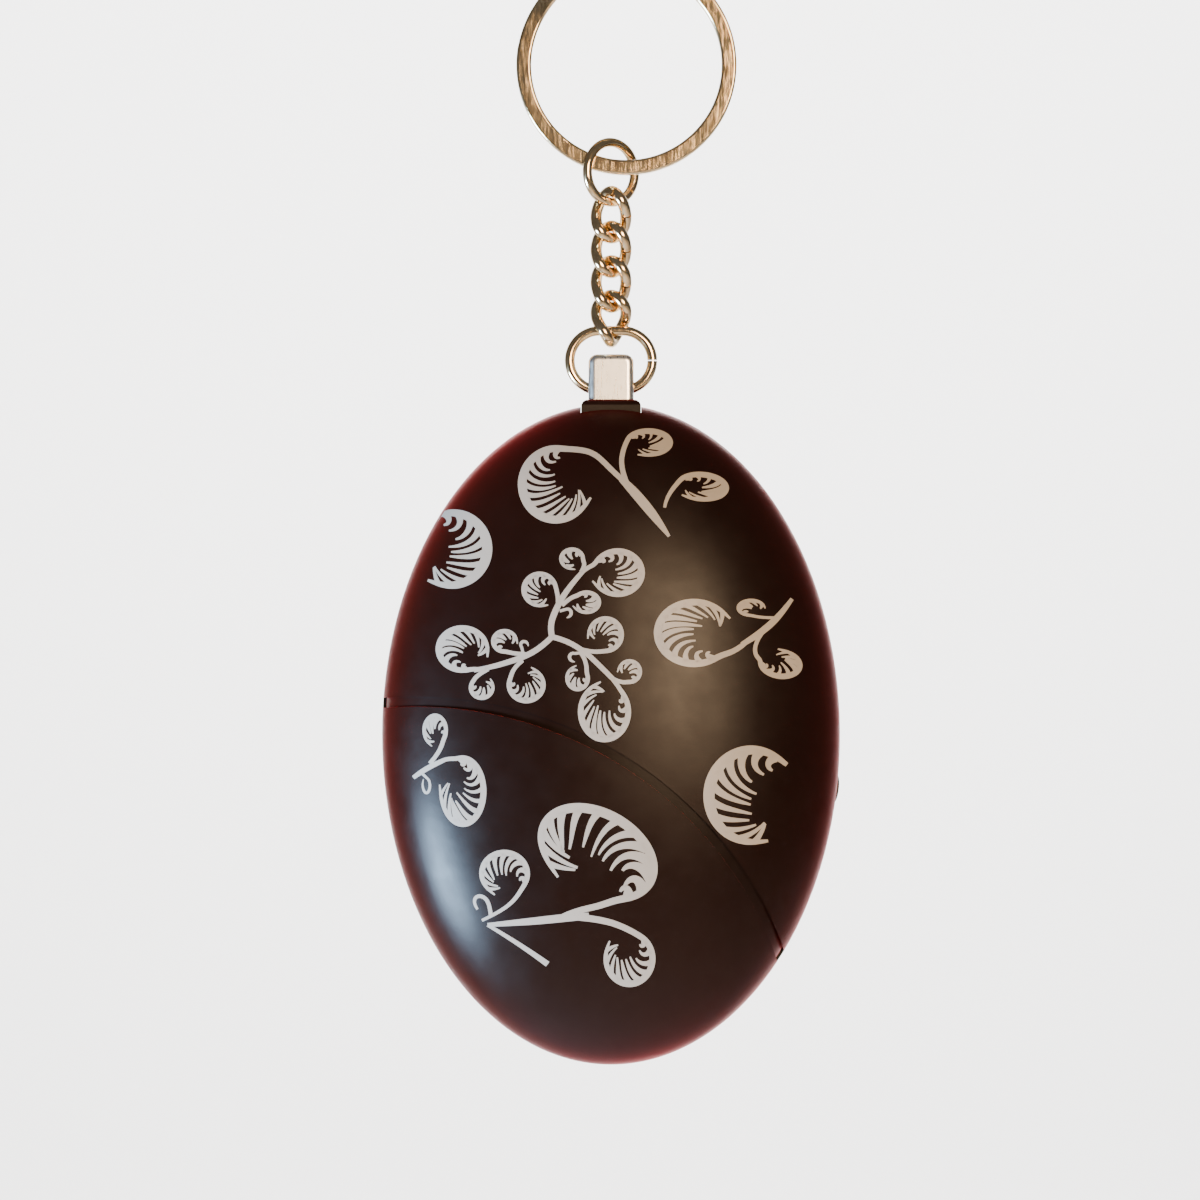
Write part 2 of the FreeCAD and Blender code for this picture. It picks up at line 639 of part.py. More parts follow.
# ---------------------------------------------------------------- side button and its switch
switch_x = 14.1
button_end = switch_x + 1.0
switch = body("tact_switch")
pad(switch, "XZ", [box_outline(switch_x - 3.4, switch_x, button_z - 2.2, button_z + 2.2)],
    board_back, button_y + 1.6)
pad(switch, "YZ", [(button_y, button_z, as_size(0.95))], switch_x - 0.7, switch_x + 1, "Pocket")
node(switch, "tact_switch")
plunger = body("tact_plunger")
pad(plunger, "YZ", [(button_y, button_z, as_size(0.9))], switch_x - 0.25, button_end)
node(plunger, "tact_plunger")
flange = rod("ButtonFlange", "X", button_across / 2 + 0.5, 0.6, x=button_end, y=button_y, z=button_z)
stem = common("ButtonStem", ellipsoid("ButtonDome", 0.35),
              rod("ButtonBar", "X", button_across / 2, 12, x=button_end, y=button_y, z=button_z))
node(fuse("LightButton", flange, stem), "light_button")

# ---------------------------------------------------------------- lamp
lamp_base = cell_z - cell_across / 2 - 0.6
led = turned("led_lamp", "Z", [(0, 0), (lamp_across / 2 + 0.3, 0), (lamp_across / 2 + 0.3, -0.8),
                               (lamp_across / 2, -0.8), (lamp_across / 2, -3.1),
                               (lamp_across * 0.43, -3.75), (lamp_across * 0.25, -4.3), (0, -4.5)])
node(led, "led_lamp", y=lamp_y, z=lamp_base)
lens = common("LampLens", outer, rod("LensBar", "Z", lamp_across / 2 + 0.1, 8, y=lamp_y, z=lamp_base - 12.55))
node(lens, "lamp_lens")


def lead(label, points, bend=0.9, radius=0.3):
    """An insulated wire: straight runs joined by bends."""
    points = [Vector(*point) for point in points]
    edges, start = [], points[0]
    for before, corner, after in zip(points, points[1:], points[2:]):
        back, ahead = (before - corner).normalize(), (after - corner).normalize()
        half = back.getAngle(ahead) / 2
        inset = bend / math.tan(half)
        middle = corner + (back + ahead).normalize() * (bend / math.sin(half) - bend)
        edges += [Part.makeLine(start, corner + back * inset),
                  Part.Arc(corner + back * inset, middle, corner + ahead * inset).toShape()]
        start = corner + ahead * inset
    edges.append(Part.makeLine(start, points[-1]))
    return feature(label, swept(Part.Wire(edges), radius), egg_z)


lamp_top = lamp_base.value
for i, side in enumerate((-1, 1)):
    x = side * 0.64
    lead(f"lamp_lead_{i + 1}", [(x, lamp_y.value, lamp_top), (x, lamp_y.value, lamp_top + 0.4),
                                (x, 5.0, lamp_top + 1.9), (x, 6.55, lamp_top + 5.7), (x, 6.55, -9.8),
                                (x, 2.4, -8.4), (x, 1.6, -6.6), (x, board_back.value, -6.6)], bend=0.5)
lead("siren_lead_red", [(-3.0, plate_front.value - 0.25, 0.0), (-3.0, 2.2, 0.0), (-3.0, 2.2, -2.4),
                        (-3.0, board_back.value, -2.4)])
lead("siren_lead_black", [(3.0, plate_front.value, -4.2), (3.0, 2.2, -4.2), (3.0, 2.2, -2.0),
                          (3.0, board_back.value, -2.0)])

# ---------------------------------------------------------------- cells, cradle and contacts
rim = 0.35
for i in range(3):
    start = cell_thick * (i - 1.5)
    cell = turned(f"button_cell_{i + 1}", "X", [(0, 0), (cell_across / 2 - rim, 0), (cell_across / 2, rim),
                                               (cell_across / 2, cell_thick - 1.2),
                                               (cell_across / 2 - 1.0, cell_thick - 0.5),
                                               (cell_across / 2 - 1.4, cell_thick), (0, cell_thick)])
    node(cell, f"button_cell_{i + 1}", x=start, z=cell_z)

stack = cell_thick * 1.5
cradle_block = common("CradleBlock", ellipsoid("CradleLimit", -wall - play),
                      block("CradleBox", (-stack - 1.9, stack + 3.5), (0.2, 7.4),
                            (cell_z - cell_across / 2 - 0.1, cell_z + cell_across / 2 + 0.1)))
groove_bar = rod("CradleGroove", "X", cell_across / 2 + 0.1, stack * 2 + 2.8, x=-stack - 0.45, z=cell_z)
wire_slot = block("WireSlot", (-1.3, 1.3), (6.15, 9), (cell_z - 8, cell_z + 8))
wire_in = block("WireIn", (-1.3, 1.3), (1.9, 9), (cell_z - 8, cell_z - 0.7))
wire_out = block("WireOut", (-1.3, 1.3), (2.0, 9), (cell_z + 3.8, cell_z + 8))
node(cut("BatteryCradle", cradle_block, fuse("CradleHoles", groove_bar, wire_slot, wire_in, wire_out)),
     "battery_cradle")

contact = body("battery_contact")
pad(contact, "YZ", [box_outline(-3, 4, cell_z - 3.5, cell_z + 3.5)], -stack - 0.4, -stack - 0.1)
pad(contact, "YZ", [(0, cell_z, as_size(1.4))], -stack - 0.15, -stack)
node(contact, "battery_contact")

turns, coil_radius, coil_wire = 3.0, 2.6, 0.25
spring_length = 1.95
points = []
for i in range(73):
    angle = 2 * math.pi * turns * i / 72
    points.append(Vector(stack.value + coil_wire + (spring_length - 2 * coil_wire) * i / 72,
                         coil_radius * math.cos(angle), cell_z.value + coil_radius * math.sin(angle)))
end_plate = Part.makeBox(0.3, 7.0, 7.0, Vector(stack.value + spring_length - 0.05, -3.0, cell_z.value - 3.5))
feature("battery_spring", swept(smooth(points), coil_wire).fuse(end_plate), egg_z)

# ---------------------------------------------------------------- check and export
doc.recompute()
for item in doc.Objects:
    if "Invalid" in item.State or "Error" in item.State:
        raise RuntimeError(f"{item.Label}: {item.State}")
for item in nodes:
    shape = item.Shape
    if shape.isNull() or not shape.isValid() or not shape.Solids:
        raise RuntimeError(f"{item.Label}: bad shape")
for item in nodes:
    item.Shape.exportStep(f"parts/{item.Label}.step")
    print(f"{item.Label:22s} {len(item.Shape.Solids)} solid  {item.Shape.Volume:9.2f} mm3")
print(len(nodes), "sub-parts")
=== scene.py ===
# %% [markdown]
# # An egg-shaped key-ring alarm
#
# The solids arrive finished: a flat plastic egg in two shells with a battery cover, a pull pin in its
# top, and a little chain of rings. This lesson gives them their looks. It prints feathered scrolls on
# the front, dresses every part in a material of its own, and lights the egg on a pale sweep.
# Everything is in metres, in the frame the solids came in, with the front of the egg towards -Y.

# %% Load the solids
import json
import math

import bmesh
import bpy
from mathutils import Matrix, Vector


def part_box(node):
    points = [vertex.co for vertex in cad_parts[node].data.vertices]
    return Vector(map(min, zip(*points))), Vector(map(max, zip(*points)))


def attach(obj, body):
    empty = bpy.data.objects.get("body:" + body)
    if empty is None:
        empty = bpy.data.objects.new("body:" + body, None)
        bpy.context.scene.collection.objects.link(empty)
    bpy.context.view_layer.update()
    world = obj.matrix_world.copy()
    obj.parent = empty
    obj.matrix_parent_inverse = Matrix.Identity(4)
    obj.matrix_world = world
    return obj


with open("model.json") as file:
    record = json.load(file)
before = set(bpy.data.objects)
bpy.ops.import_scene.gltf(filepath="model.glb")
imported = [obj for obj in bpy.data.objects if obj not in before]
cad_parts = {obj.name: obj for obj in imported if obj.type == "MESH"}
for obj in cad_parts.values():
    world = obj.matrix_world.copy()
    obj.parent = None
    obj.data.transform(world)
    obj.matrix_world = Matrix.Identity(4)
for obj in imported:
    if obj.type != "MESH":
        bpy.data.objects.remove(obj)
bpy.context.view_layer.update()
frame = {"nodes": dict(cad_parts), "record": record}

# %% [markdown]
# ## The egg's own surface
#
# The shells are an ellipsoid. Its centre and half sizes are read from the parts' boxes rather than
# typed in, so that the print stays on the shell if the egg ever changes size.

# %% Measure the egg
MM = 0.001
EGG_HEIGHT, EGG_WIDTH = 60.0, 41.6                      # the proportion of the ellipsoid
FRONT_FACE = 0.98                                       # how near the parting line the print may come


def joint_box(*names):
    """Lowest and highest corner of several parts together."""
    boxes = [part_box(name) for name in names]
    low = Vector([min(b[0][i] for b in boxes) for i in range(3)])
    high = Vector([max(b[1][i] for b in boxes) for i in range(3)])
    return low, high


egg_low, egg_high = joint_box("front_shell", "rear_shell", "battery_cover")
half_width = (egg_high.x - egg_low.x) / 2
half_depth = (egg_high.y - egg_low.y) / 2
half_height = half_width * EGG_HEIGHT / EGG_WIDTH       # measured by width: the socket cuts off the top
egg_centre = Vector((0, 0, egg_low.z + half_height))
print("egg half sizes, mm:", [round(v / MM, 2) for v in (half_width, half_depth, half_height)])


def egg_normal(spot):
    """The outward normal of the egg at a point on it."""
    x, y, z = spot - egg_centre
    return Vector((x / half_width ** 2, y / half_depth ** 2, z / half_height ** 2)).normalized()


def on_egg(x, z, lift):
    """The point in front of (x, z) on the egg's surface, moved out by lift along the surface's normal.
    x and z are measured from the egg's centre."""
    reach = (x / half_width) ** 2 + (z / half_height) ** 2
    if reach > FRONT_FACE:
        x, z = x * math.sqrt(FRONT_FACE / reach), z * math.sqrt(FRONT_FACE / reach)
        reach = FRONT_FACE
    spot = egg_centre + Vector((x, -half_depth * math.sqrt(1 - reach), z))
    return spot + egg_normal(spot) * lift


# %% [markdown]
# ## Strokes of printed ink
#
# The scrolls are pad-printed: a film of pale ink a few hundredths of a millimetre thick. An image
# texture would be the quick way, but it blurs close up. Here every stroke is a curve drawn in the
# flat, with a radius at each point for its swelling and thinning, as a pen line has. The curves become
# a mesh, and each vertex is then laid on the egg: the front half of the round line becomes the top of
# the film and the back half sinks into the plastic. Last, each vertex takes the egg's own normal, so
# that the film catches the light as the shell under it does and crossing strokes read as one.

# %% Draw one stroke
INK_LIFT, INK_RIM, INK_SINK = 0.028 * MM, 0.003 * MM, 0.030 * MM   # top, edge and underside of the film
ROUND = 1e-3                                            # a vertex this near the flat is on the rim


def new_drawing(name):
    """A flat drawing: a curve object whose splines are the strokes."""
    drawing = bpy.data.curves.new(name, "CURVE")
    drawing.dimensions = "3D"
    drawing.bevel_depth = MM
    drawing.bevel_resolution = 1
    drawing.resolution_u = 5
    drawing.use_fill_caps = True
    return drawing


def stroke(drawing, points, widths):
    """A smooth line through the (x, z) points, in millimetres from the egg's centre; widths are its
    full widths at the same points."""
    spline = drawing.splines.new("NURBS")
    spline.points.add(len(points) - 1)
    for point, (x, z), width in zip(spline.points, points, widths):
        point.co = (x * MM, 0, z * MM, 1)
        point.radius = width / 2
    spline.order_u = min(4, len(points))
    spline.use_endpoint_u = True


def stem(drawing, points, *widths):
    """A stalk. Its width runs evenly through the given widths from its first point to its last."""
    last = len(points) - 1
    swell = []
    for i in range(last + 1):
        place = i / last * (len(widths) - 1)
        before = min(int(place), len(widths) - 2)
        swell.append(widths[before] + (widths[before + 1] - widths[before]) * (place - before))
    stroke(drawing, points, swell)


# %% [markdown]
# ## A feathered leaf
#
# Every scroll is built from one shape. A stalk runs into a band that curls round an oval, thickens
# over its back and ends in a brush tail. Barbs leave the band's inner edge: they set off along the
# curl, bend inwards and finish pointing at the open mouth, and near the tail they straighten into
# long bristles. Big leaves, small curls and lone crescents differ only in the oval, in the angles
# where the band starts and ends, and in the number of barbs.

# %% Draw one leaf
def leaf(drawing, centre, half, start, end, barbs, band, stalk=(), widths=(0.4, 0.45), tilt=0):
    """centre and half (half width, half height) of the oval are in millimetres. The band runs from
    the angle start to the angle end in degrees, anticlockwise if end is the larger. band is its
    greatest width; stalk holds points that lead up to it, with the widths that go with a stem."""
    middle, turn = Vector(centre), math.radians(tilt)
    sense = 1 if end > start else -1

    def at(angle, inset):
        x, z = (half[0] - inset) * math.cos(angle), (half[1] - inset) * math.sin(angle)
        return middle + Vector((x * math.cos(turn) - z * math.sin(turn),
                                x * math.sin(turn) + z * math.cos(turn)))

    first, span = math.radians(start), math.radians(end - start)

    def width(t):                                           # from the stalk's width to a thin brush end
        ends = widths[-1] * (1 - t) + band * 0.25 * t
        return ends + (band - ends) * math.sin(math.pi * t) ** 0.75

    steps = max(6, round(abs(math.degrees(span)) / 18))
    along = [i / steps for i in range(steps + 1)]
    curl = [at(first + span * t, width(t) / 2) for t in along]
    growth = (widths[-1] - widths[0]) / max(len(stalk), 1)
    stroke(drawing, [*stalk, *curl],
           [widths[0] + growth * i for i in range(len(stalk))] + [width(t) for t in along])
    mouth = (at(first + (span + sense * 2 * math.pi) / 2, 0) - middle).normalized()
    for i in range(barbs):
        t = (i + 0.75) / (barbs + 0.5)
        angle = first + span * t
        under = width(t) * 0.7
        root = at(angle, under)
        inward = middle - root
        room = inward.length
        inward = inward.normalized()
        onward = (at(angle + sense * 0.05, 0) - at(angle, 0)).normalized()
        length = room * (0.40 + 0.55 * min(1, t * 3.2))
        hook = [root + length * (0.30 * inward + 0.24 * onward),
                root + length * (0.64 * inward + 0.24 * onward + 0.12 * mouth)]
        hook.append(hook[1] + length * (0.06 * inward + (0.34 + 0.10 * math.sin(i * 2.4)) * mouth))
        trail = sense * min(math.radians(46), abs(span) * (1 - t) + 0.12)
        bristle = [at(angle + trail * f, under + room * 0.30 * f) for f in (0.33, 0.67, 1.0)]
        tail = min(1, max(0, (t - 0.5) / 0.3))              # from hooked barb to straight bristle
        bend, neck, tip = (h * (1 - tail) + b * tail for h, b in zip(hook, bristle))
        pitch = (room + 0.1) * abs(span) / barbs
        thin = 1 - 0.35 * tail
        stroke(drawing, [root, bend, neck, tip],
               [pitch * 0.60 * thin, pitch * 0.46 * thin, pitch * 0.34 * thin, pitch * 0.14])


# %% [markdown]
# ## From drawing to film
#
# On the real egg a soft pad carries the ink onto the curved shell. Projecting the drawing with a
# modifier would stretch it near the edges and leave its thickness uneven. Moving each vertex by a
# formula keeps the film equally thick everywhere. The ends of the strokes are merged first, so that
# every stroke is closed, and the normals are recalculated while the strokes are still plain round
# rods, where inside and outside can't be mistaken.

# %% Lay a drawing on the egg
def print_on_egg(drawing, body):
    """Turns a drawing into a film of ink that rides with a body."""
    flat = bpy.data.objects.new(drawing.name + "_flat", drawing)
    mesh = bpy.data.meshes.new_from_object(flat)
    bpy.data.objects.remove(flat)
    film = bmesh.new()
    film.from_mesh(mesh)
    bmesh.ops.remove_doubles(film, verts=film.verts, dist=1e-7)     # closes the ends of the strokes
    bmesh.ops.recalc_face_normals(film, faces=film.faces)
    for vert in film.verts:
        height = -vert.co.y / MM
        lift = INK_LIFT if height > ROUND else -INK_SINK if height < -ROUND else INK_RIM
        vert.co = on_egg(vert.co.x, vert.co.z, lift)
    for face in film.faces:
        face.smooth = True
    film.to_mesh(mesh)
    film.free()
    mesh.name = drawing.name
    mesh.normals_split_custom_set_from_vertices([egg_normal(vert.co) for vert in mesh.vertices])
    piece = bpy.data.objects.new(drawing.name, mesh)
    bpy.context.scene.collection.objects.link(piece)
    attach(piece, body)
    triangles = sum(len(face.vertices) - 2 for face in mesh.polygons)
    print(piece.name, "strokes:", len(drawing.splines), "triangles:", triangles)
    return piece


prints = []

# %% [markdown]
# ## The sprigs of the front shell
#
# The upper shell carries five groups: a sprig of three leaves near the top, a crescent at the left
# edge, a three-armed spray in the middle with curls along each arm, a sprig on the right and a
# crescent below it. Positions are millimetres from the egg's centre.

# %% Top sprig
top_sprig = new_drawing("print_top_sprig")
leaf(top_sprig, (-5.0, 22.6), (3.5, 3.65), 72, 340, barbs=14, band=0.93, widths=(0.55, 0.6),
     stalk=[(1.0, 23.0), (0.1, 23.8), (-0.7, 24.7), (-1.9, 25.7)])
leaf(top_sprig, (3.4, 26.4), (2.25, 1.35), 168, -118, barbs=9, band=0.63, widths=(0.55, 0.5),
     stalk=[(1.5, 22.4), (1.0, 23.7), (0.8, 25.0)])
leaf(top_sprig, (8.2, 22.4), (2.5, 1.4), 160, -138, barbs=9, band=0.63, widths=(0.3, 0.5), tilt=-4,
     stalk=[(4.8, 20.5), (4.9, 21.4)])
stem(top_sprig, [(5.2, 17.9), (4.2, 19.3), (3.1, 20.7), (1.9, 22.1), (0.9, 23.1)], 0.3, 1.05, 1.1, 0.65)
prints.append(print_on_egg(top_sprig, "egg"))

# %% [markdown]
# ## Crescents
#
# A crescent is a leaf without a stalk: the same band and barbs, opened wider so that the mouth takes
# up most of one side. Reusing leaf() keeps the line quality the same as in the sprigs.

# %% The two crescents
crescents = new_drawing("print_crescents")
leaf(crescents, (-14.3, 16.8), (3.75, 3.7), 118, -128, barbs=11, band=1.07)
leaf(crescents, (12.5, -5.3), (4.4, 4.6), 38, 292, barbs=11, band=1.18)
prints.append(print_on_egg(crescents, "egg"))

# %% [markdown]
# ## The spray in the middle
#
# Three arms leave one hub. Each has a big leaf at its tip, smaller ones along its sides and a plain
# hook near its root, which is a leaf with no barbs. The arms are drawn one after the other, so each
# can be compared with its neighbours.

# %% Upper arm of the spray
spray = new_drawing("print_spray")
hub = (-5.3, 8.9)
stem(spray, [hub, (-5.5, 9.9), (-5.1, 11.0), (-4.5, 12.3), (-3.5, 13.7), (-2.4, 14.9)], 0.6, 0.65, 0.45)
leaf(spray, (0.6, 14.65), (2.5, 2.25), 163, -160, barbs=11, band=0.70,
     stalk=[(-3.0, 14.3), (-2.2, 15.1)])
leaf(spray, (-3.5, 15.9), (1.2, 1.05), -10, 285, barbs=4, band=0.42, stalk=[(-2.7, 14.7), (-2.3, 15.3)])
leaf(spray, (-6.4, 13.15), (1.7, 1.65), 5, 298, barbs=8, band=0.55, stalk=[(-4.8, 11.3), (-4.7, 12.3)])
leaf(spray, (-2.2, 12.0), (1.35, 1.1), 140, -162, barbs=5, band=0.47, stalk=[(-4.4, 11.7), (-3.7, 12.4)])
leaf(spray, (-3.9, 11.05), (0.5, 0.5), 110, -100, barbs=0, band=0.35, widths=(0.3, 0.3),
     stalk=[(-4.6, 11.2)])
print("strokes so far:", len(spray.splines))

# %% Left arm of the spray
stem(spray, [hub, (-6.2, 8.0), (-7.5, 7.2), (-9.0, 6.7), (-10.8, 6.15), (-12.3, 5.9)], 0.57, 0.6, 0.45)
leaf(spray, (-13.35, 7.8), (2.5, 2.2), -62, -380, barbs=11, band=0.70,
     stalk=[(-10.8, 6.15), (-11.8, 5.95)])
leaf(spray, (-9.55, 8.5), (1.25, 1.15), -80, -372, barbs=5, band=0.47,
     stalk=[(-7.3, 7.35), (-8.5, 7.35)])
leaf(spray, (-7.8, 8.2), (0.45, 0.45), -130, -380, barbs=0, band=0.32, widths=(0.3, 0.3),
     stalk=[(-7.9, 7.5)])
leaf(spray, (-7.6, 4.6), (1.8, 1.7), 152, 435, barbs=9, band=0.55, stalk=[(-7.9, 6.8), (-8.7, 6.2)])
leaf(spray, (-11.6, 4.35), (1.2, 1.15), 138, 408, barbs=5, band=0.42, stalk=[(-11.0, 6.0), (-12.0, 5.5)])
print("strokes so far:", len(spray.splines))

# %% Lower arm of the spray
stem(spray, [hub, (-4.2, 8.65), (-3.0, 8.0), (-2.0, 7.3), (-1.0, 6.3), (0.2, 5.1)], 0.55, 0.55, 0.5)
leaf(spray, (-0.6, 2.2), (2.45, 2.8), 52, -262, barbs=12, band=0.70, stalk=[(-0.2, 5.5), (0.5, 4.7)])
leaf(spray, (-0.5, 9.1), (1.7, 1.7), -95, 193, barbs=8, band=0.55, stalk=[(-3.0, 7.9), (-1.8, 7.5)])
leaf(spray, (-3.0, 5.2), (1.15, 1.2), 32, -265, barbs=5, band=0.42, stalk=[(-2.8, 7.6), (-2.2, 6.8)])
leaf(spray, (-3.4, 7.1), (0.5, 0.5), 60, 290, barbs=0, band=0.34, stalk=[(-2.7, 7.5)], widths=(0.3, 0.3))
leaf(spray, (1.65, 5.8), (1.15, 1.15), -100, 183, barbs=5, band=0.42, stalk=[(0.1, 5.2), (0.8, 4.8)])
prints.append(print_on_egg(spray, "egg"))

# %% [markdown]
# ## The sprig on the right
#
# Its stem comes in from the edge and meets the big leaf's stalk from behind, so the stem is a stroke
# of its own that swells in the middle, and the three leaves hang on it.

# %% Right sprig
right_sprig = new_drawing("print_right_sprig")
stem(right_sprig, [(16.3, 12.3), (15.2, 10.8), (14.0, 9.7), (12.9, 8.9), (11.7, 8.2)],
     0.4, 0.75, 0.75, 0.5)
leaf(right_sprig, (7.4, 9.25), (3.7, 3.15), -42, -335, barbs=13, band=0.85, widths=(0.5, 0.6),
     stalk=[(12.2, 8.5), (11.2, 7.6)])
leaf(right_sprig, (12.55, 11.5), (1.35, 0.85), -85, -365, barbs=5, band=0.42, widths=(0.3, 0.3),
     stalk=[(14.7, 10.6), (13.5, 10.6)])
leaf(right_sprig, (15.2, 6.45), (2.1, 1.4), 172, 462, barbs=8, band=0.59, tilt=-8,
     stalk=[(13.6, 9.3), (12.9, 8.4), (12.8, 7.3)])
prints.append(print_on_egg(right_sprig, "egg"))

# %% [markdown]
# ## The sprigs of the battery cover
#
# The cover is a part of its own, so its two groups are a separate film that rides with it and comes
# away with it.

# %% Small sprig of the cover
cover_sprigs = new_drawing("print_cover_sprigs")
stem(cover_sprigs, [(-17.8, -3.8), (-16.9, -3.1), (-16.0, -2.6), (-15.0, -2.2)], 0.4, 0.65, 0.4)
leaf(cover_sprigs, (-15.8, 0.5), (1.2, 1.55), -42, 255, barbs=7, band=0.42,
     stalk=[(-16.3, -2.5), (-15.4, -1.5)])
leaf(cover_sprigs, (-13.3, -4.95), (2.2, 3.3), 112, -190, barbs=13, band=0.63,
     stalk=[(-15.9, -2.6), (-14.9, -2.0)])
leaf(cover_sprigs, (-16.6, -4.5), (0.45, 0.8), 75, -230, barbs=0, band=0.28, widths=(0.3, 0.25),
     stalk=[(-17.0, -3.4)])
print("strokes so far:", len(cover_sprigs.splines))

# %% Large sprig of the cover
knot = (-11.1, -17.0)
stem(cover_sprigs, [knot, (-8.5, -16.75), (-6.0, -16.5), (-3.6, -16.2), (-2.0, -16.1)],
     0.4, 0.75, 0.9, 0.7)
stem(cover_sprigs, [knot, (-9.0, -18.2), (-7.2, -19.4), (-5.7, -20.5)], 0.35, 0.45, 0.6)
leaf(cover_sprigs, (-1.2, -10.4), (5.9, 4.05), -52, 250, barbs=14, band=1.00, tilt=-30, widths=(0.6, 0.7),
     stalk=[(-4.6, -16.3), (-3.2, -15.6), (-1.2, -15.3)])
leaf(cover_sprigs, (1.65, -20.0), (2.4, 2.65), 68, -220, barbs=10, band=0.67, widths=(0.7, 0.6),
     stalk=[(-3.0, -16.2), (-0.8, -16.4), (1.0, -17.0)])
leaf(cover_sprigs, (-9.55, -12.3), (2.35, 2.2), -42, 247, barbs=10, band=0.63, widths=(0.3, 0.45),
     stalk=[(-11.6, -16.6), (-10.2, -15.9), (-8.8, -15.0)])
stem(cover_sprigs, [(-10.8, -16.2), (-10.9, -15.1), (-11.3, -14.4), (-12.2, -14.3), (-12.4, -15.0),
                    (-12.0, -15.6)], 0.4, 0.4, 0.25)
prints.append(print_on_egg(cover_sprigs, "battery_cover"))

# %% [markdown]
# ## Effects that several materials share
#
# Two node groups do most of the work. One breaks up a colour and a roughness with soft blotches and a
# fine moulded grain, as injection-moulded plastic, rubber and lacquer have. The other gives metal
# faint scratches and a thin uneven tarnish. Both read Object coordinates, so the pattern stays on the
# part when it moves.

# %% Node helpers
def add(tree, kind, inputs=None, **settings):
    """A node with its settings and unlinked input values."""
    item = tree.nodes.new(kind)
    for key, value in settings.items():
        setattr(item, key, value)
    for key, value in (inputs or {}).items():
        if isinstance(value, bpy.types.NodeSocket):
            tree.links.new(value, item.inputs[key])
        else:
            item.inputs[key].default_value = value
    return item


def new_group(name, inputs, outputs):
    """An empty shader node group with named sockets."""
    group = bpy.data.node_groups.new(name, "ShaderNodeTree")
    for label, (kind, value) in inputs.items():
        socket = group.interface.new_socket(label, in_out="INPUT", socket_type=kind)
        socket.default_value = value
    for label, kind in outputs.items():
        group.interface.new_socket(label, in_out="OUTPUT", socket_type=kind)
    return group, group.nodes.new("NodeGroupInput"), group.nodes.new("NodeGroupOutput")


COLOUR, NUMBER = "NodeSocketColor", "NodeSocketFloat"


# %% Node shorthands
def noise(tree, vector, scale, detail):
    """A soft random pattern between 0 and 1."""
    item = add(tree, "ShaderNodeTexNoise", {"Vector": vector, "Scale": scale, "Detail": detail})
    return item.outputs["Fac"]


def spread(tree, value, low, high, least, most):
    """value, stretched so that low becomes least and high becomes most."""
    item = add(tree, "ShaderNodeMapRange", {"Value": value, "From Min": low, "From Max": high,
                                            "To Min": least, "To Max": most})
    return item.outputs["Result"]


def mix_colours(tree, share, first, second):
    """The first colour, with a share of the second; a colour mix has its sockets at 6, 7 and 2."""
    item = add(tree, "ShaderNodeMix", {"Factor": share, 6: first, 7: second}, data_type="RGBA")
    return item.outputs[2]


# %% Moulded surface group
moulded, given, result = new_group(
    "Moulded surface",
    {"Colour": (COLOUR, (0.5, 0.5, 0.5, 1)), "Blotch Colour": (COLOUR, (0.4, 0.4, 0.4, 1)),
     "Smooth": (NUMBER, 0.3), "Rough": (NUMBER, 0.4), "Grain Size": (NUMBER, 3000.0)},
    {"Colour": COLOUR, "Roughness": NUMBER, "Height": NUMBER})
place = add(moulded, "ShaderNodeTexCoord").outputs["Object"]
blotches = noise(moulded, place, 190.0, 4.0)
patches = noise(moulded, place, 420.0, 5.0)
tint = mix_colours(moulded, blotches, given.outputs["Colour"], given.outputs["Blotch Colour"])
gloss = spread(moulded, patches, 0.3, 0.7, given.outputs["Smooth"], given.outputs["Rough"])
grain = noise(moulded, place, given.outputs["Grain Size"], 2.0)
moulded.links.new(tint, result.inputs["Colour"])
moulded.links.new(gloss, result.inputs["Roughness"])
moulded.links.new(grain, result.inputs["Height"])
print("group:", moulded.name)

# %% Worn metal group
worn, given, result = new_group(
    "Worn metal",
    {"Colour": (COLOUR, (0.8, 0.8, 0.8, 1)), "Tarnish": (COLOUR, (0.5, 0.4, 0.3, 1)),
     "Amount": (NUMBER, 0.3), "Smooth": (NUMBER, 0.12), "Rough": (NUMBER, 0.3)},
    {"Colour": COLOUR, "Roughness": NUMBER, "Height": NUMBER})
place = add(worn, "ShaderNodeTexCoord").outputs["Object"]
clouds = noise(worn, place, 900.0, 5.0)
tarnished = spread(worn, clouds, 0.45, 0.75, 0.0, given.outputs["Amount"])
tint = mix_colours(worn, tarnished, given.outputs["Colour"], given.outputs["Tarnish"])
stretch = add(worn, "ShaderNodeMapping", {"Vector": place, "Scale": (1.0, 1.0, 0.12)})
scratches = noise(worn, stretch.outputs["Vector"], 7000.0, 3.0)
gloss = spread(worn, scratches, 0.35, 0.7, given.outputs["Smooth"], given.outputs["Rough"])
worn.links.new(tint, result.inputs["Colour"])
worn.links.new(gloss, result.inputs["Roughness"])
worn.links.new(scratches, result.inputs["Height"])
print("group:", worn.name)


# %% [markdown]
# ## Materials
#
# Two small functions turn the groups into materials. What differs between, say, the shell and a
# rubber washer is only colour, roughness, the depth of the grain and a few plain settings of the
# shader, so each finish is one call.

# %% Material helpers
def rgb(red, green, blue):
    return (red, green, blue, 1.0)


